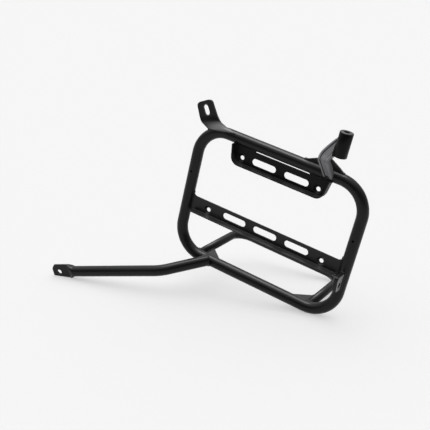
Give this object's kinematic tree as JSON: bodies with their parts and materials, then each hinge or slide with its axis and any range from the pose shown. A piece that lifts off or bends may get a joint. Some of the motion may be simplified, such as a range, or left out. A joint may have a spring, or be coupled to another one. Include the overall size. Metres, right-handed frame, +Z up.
{
  "type": "pannier frame",
  "caption": "Welded tube hoop with slotted bag plates, a tubular bag shelf, a long lower stay and bolt-on points to hold a soft pannier beside a motorcycle's rear wheel.",
  "frame": {"origin": "middle of the lower plate's two bag screw holes, at the floor of their pressed dishes", "axes": "+X along the hoop towards the upright end that carries the spacer and the side lug, +Y outboard towards the bag and the shelf, +Z up the uprights"},
  "size_m": [0.4743, 0.2331, 0.4048],
  "materials": {
    "black_coat": "satin"
  },
  "bodies": {
    "root": {"main_hoop": "black_coat", "upper_plate": "black_coat", "lower_plate": "black_coat", "shelf_loop": "black_coat", "shelf_gusset_left": "black_coat", "shelf_gusset_right": "black_coat", "lower_stay": "black_coat", "front_tab": "black_coat", "arm_brace": "black_coat", "spacer_arm": "black_coat", "spacer": "black_coat", "side_lug": "black_coat"}
  },
  "joints": []
}
